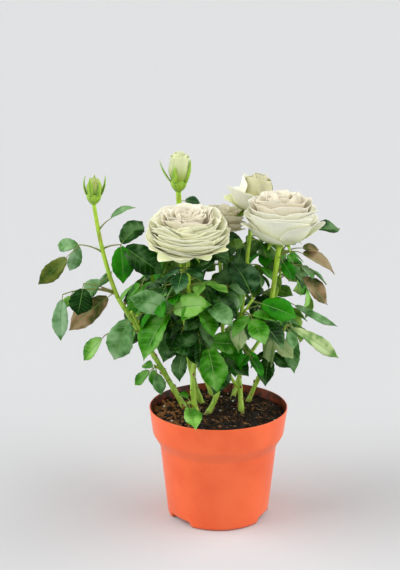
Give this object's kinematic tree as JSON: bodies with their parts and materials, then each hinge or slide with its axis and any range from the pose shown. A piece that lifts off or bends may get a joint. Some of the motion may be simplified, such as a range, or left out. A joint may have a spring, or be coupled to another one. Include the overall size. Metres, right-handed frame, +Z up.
{
  "type": "potted white rose bush",
  "caption": "Small patio rose bush with white double blooms, buds and compound green leaves on slender canes, rooted in peat in a round orange plastic nursery pot.",
  "frame": {"origin": "middle of the pot's flat underside, on the surface that the pot stands on", "axes": "+Z up through the pot's middle; the plant's front, where the largest bloom leans out, faces -Y; +X to the viewer's right of that front"},
  "size_m": [0.2793, 0.1919, 0.3485],
  "materials": {
    "pot": "satin orange moulded plastic",
    "soil": "loose dark peat",
    "cane": "smooth green young bark",
    "leaf": "satin leaf",
    "petal": "soft matte petal",
    "bud": "matte sepal"
  },
  "bodies": {
    "root": {"pot": "pot", "soil": "soil", "cane_left": "cane", "cane_front": "cane", "cane_centre": "cane", "cane_centre_right": "cane", "cane_right": "cane", "cane_rear": "cane", "cane_rear_left": "cane", "cane_rear_right": "cane", "foliage_left_tip": "leaf", "foliage_left_low": "leaf", "foliage_left_foot": "leaf", "foliage_front": "leaf", "foliage_front_foot": "leaf", "foliage_centre": "leaf", "foliage_front_right": "leaf", "foliage_centre_right": "leaf", "foliage_right": "leaf", "foliage_right_low": "leaf", "foliage_top": "leaf", "foliage_rear_left": "leaf", "foliage_rear_right": "leaf", "bloom_front": "petal", "bloom_behind": "petal", "bloom_right": "petal", "bloom_half_open": "petal", "bud_top": "bud", "bud_left": "bud"}
  },
  "joints": []
}
